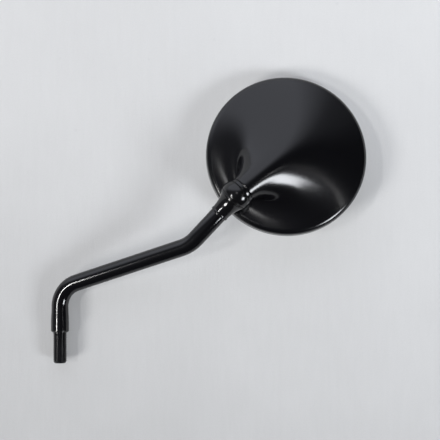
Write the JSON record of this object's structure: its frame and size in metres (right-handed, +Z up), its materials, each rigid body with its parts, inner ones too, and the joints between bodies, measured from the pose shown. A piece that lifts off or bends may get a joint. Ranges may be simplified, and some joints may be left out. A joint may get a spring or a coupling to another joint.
{
  "type": "motorcycle mirror",
  "caption": "Round motorcycle mirror: a black horn-shaped shell with convex glass, on a ball joint at the end of a cranked, threaded stem.",
  "frame": {"origin": "on the thread's axis at the stem's shoulder, where it seats on the handlebar clamp", "axes": "+Z up the threaded foot, the stem's bends in the XZ plane with the head towards +X, the back of the head faces -Y and the glass +Y"},
  "size_m": [0.2194, 0.0675, 0.2038],
  "materials": {
    "stem_paint": "gloss black paint",
    "ball_steel": "turned and polished",
    "boot_rubber": "gloss moulded rubber",
    "ring_plastic": "gloss black",
    "shell_paint": "gloss black paint",
    "housing_steel": "turned",
    "seat_nylon": "natural nylon",
    "cup_steel": "turned",
    "spring_steel": "phosphated",
    "plug_steel": "turned",
    "plate_plastic": "moulded",
    "pad_foam": "closed-cell foam tape",
    "mirror_face": "silvered convex glass",
    "gasket_rubber": "matt black rubber"
  },
  "bodies": {
    "stem": {"stem": "stem_paint", "ball_stud": "ball_steel"},
    "boot": {"joint_boot": "boot_rubber"},
    "collar": {"boot_ring": "ring_plastic"},
    "head": {"shell": "shell_paint", "socket_housing": "housing_steel", "ball_seat": "seat_nylon", "thrust_cup": "cup_steel", "disc_springs": "spring_steel", "preload_plug": "plug_steel", "backing_plate": "plate_plastic", "adhesive_pad": "pad_foam", "mirror_glass": "mirror_face", "rim_gasket": "gasket_rubber"}
  },
  "joints": [
    {"name": "head_turn", "type": "hinge", "parent": "stem", "child": "boot", "pos_m": [0.12975, 0, 0.0974], "axis": [0.6947, 0, 0.7193], "continuous": true},
    {"name": "head_tilt", "type": "hinge", "parent": "boot", "child": "collar", "pos_m": [0.12975, 0, 0.0974], "axis": [-0.7105, 0.1564, 0.6861], "range_deg": [-44, 4], "deforming": ["joint_boot"]},
    {"name": "head_twist", "type": "hinge", "parent": "collar", "child": "head", "pos_m": [0.12975, 0, 0.0974], "axis": [0.6913, 0.3378, 0.6388], "continuous": true}
  ]
}
